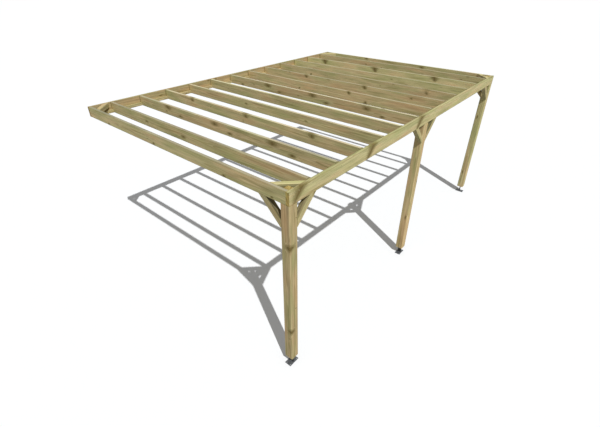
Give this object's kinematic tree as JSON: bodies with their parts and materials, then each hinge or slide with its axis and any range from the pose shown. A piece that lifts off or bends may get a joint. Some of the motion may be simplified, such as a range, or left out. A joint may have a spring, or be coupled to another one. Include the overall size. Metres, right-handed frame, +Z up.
{
  "type": "lean-to pergola",
  "caption": "Timber lean-to pergola: open flat roof of rafters hung from a wall plate and carried by a front beam on posts with knee braces and steel feet.",
  "frame": {"origin": "centre of the wall plate's back face, half way along and half way up", "axes": "+X along the wall, to the right when facing it; +Y into the wall; +Z up"},
  "size_m": [6.018, 4.048, 2.55],
  "materials": {
    "beam_timber": "sawn and planed softwood, pressure treated",
    "rafter_timber": "planed softwood, pressure treated",
    "post_timber": "planed softwood with eased edges, pressure treated",
    "brace_timber": "planed softwood, pressure treated",
    "foot_steel": "dark grey coated steel, satin"
  },
  "bodies": {
    "root": {"wall_plate": "beam_timber", "wall_ledger": "beam_timber", "front_beam": "beam_timber", "left_side_beam": "beam_timber", "right_side_beam": "beam_timber", "rafter_01": "rafter_timber", "rafter_02": "rafter_timber", "rafter_03": "rafter_timber", "rafter_04": "rafter_timber", "rafter_05": "rafter_timber", "rafter_06": "rafter_timber", "rafter_07": "rafter_timber", "rafter_08": "rafter_timber", "rafter_09": "rafter_timber", "rafter_10": "rafter_timber", "rafter_11": "rafter_timber", "rafter_12": "rafter_timber", "left_post": "post_timber", "middle_post": "post_timber", "right_post": "post_timber", "left_post_front_knee": "brace_timber", "left_post_side_knee": "brace_timber", "middle_post_left_knee": "brace_timber", "middle_post_right_knee": "brace_timber", "right_post_front_knee": "brace_timber", "right_post_side_knee": "brace_timber", "front_left_corner_brace": "brace_timber", "front_right_corner_brace": "brace_timber", "wall_left_corner_brace": "brace_timber", "wall_right_corner_brace": "brace_timber", "left_post_foot": "foot_steel", "middle_post_foot": "foot_steel", "right_post_foot": "foot_steel"}
  },
  "joints": []
}
